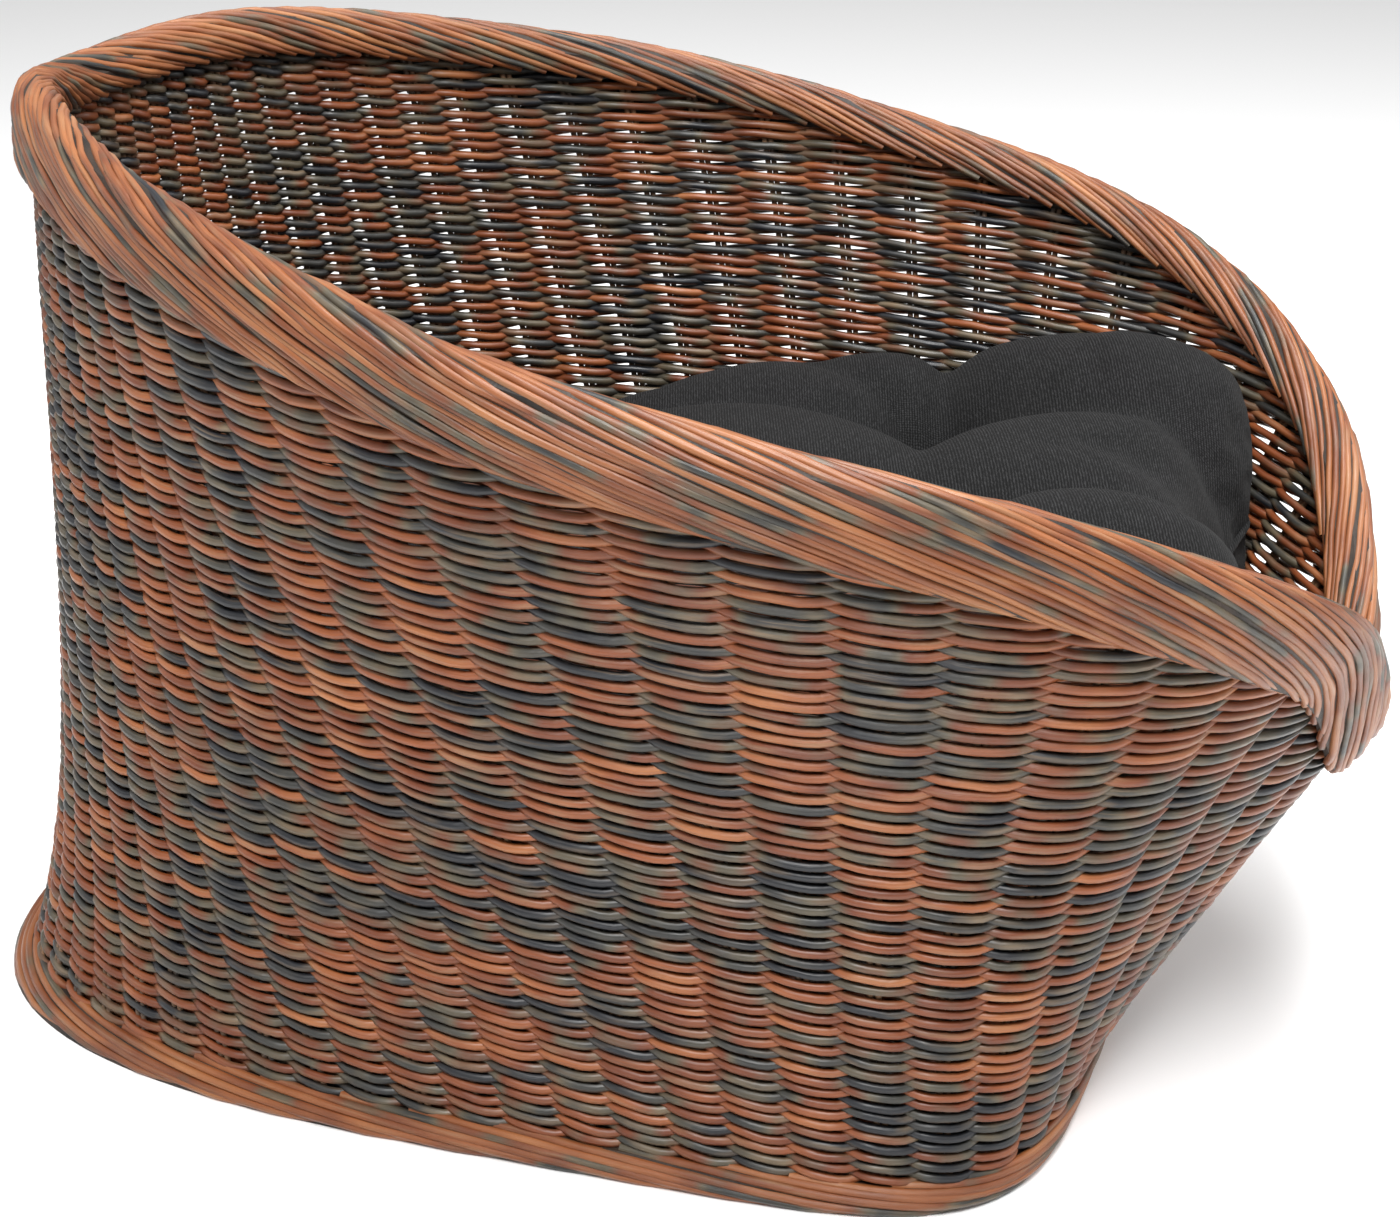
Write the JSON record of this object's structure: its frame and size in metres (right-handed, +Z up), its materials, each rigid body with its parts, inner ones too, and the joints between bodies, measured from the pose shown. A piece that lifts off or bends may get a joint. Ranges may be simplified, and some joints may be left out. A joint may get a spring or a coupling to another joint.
{
  "type": "wicker pet bed basket",
  "caption": "High-backed wicker pet bed: flared woven shell on a foot ring, rim sloping down to a low front, woven seat floor inside and a loose tufted cushion that lifts out.",
  "frame": {"origin": "centre of the bounding box in plan, on the floor plane under the foot border", "axes": "+Z up; the low front faces -Y; mirror-symmetric across X = 0 but for a slight skew of the front rim"},
  "size_m": [0.6275, 0.7751, 0.5095],
  "materials": {
    "rattan_weave": "stained natural rattan strands, satin",
    "rattan_border": "stained natural rattan strands, satin",
    "rattan_stake": "stained natural rattan rods, satin",
    "cushion_fabric": "charcoal ribbed woven fabric, matte",
    "cushion_fibre": "polyester fibre filling"
  },
  "bodies": {
    "basket": {"foot_border": "rattan_border", "wall_weave_lower": "rattan_weave", "wall_weave_upper": "rattan_weave", "rim_border": "rattan_border", "stakes_back": "rattan_stake", "stakes_right": "rattan_stake", "stakes_left": "rattan_stake", "stakes_front": "rattan_stake", "floor_hoop": "rattan_stake", "floor_sticks": "rattan_stake", "floor_weave": "rattan_weave"},
    "cushion": {"cushion_filling": "cushion_fibre", "cushion_top_cover": "cushion_fabric", "cushion_bottom_cover": "cushion_fabric", "cushion_welt": "cushion_fabric", "cushion_tufts": "cushion_fabric"}
  },
  "joints": [
    {"name": "cushion_lift", "type": "slide", "parent": "basket", "child": "cushion", "axis": [0, 0, 1], "range_m": [0, 0.45]}
  ]
}
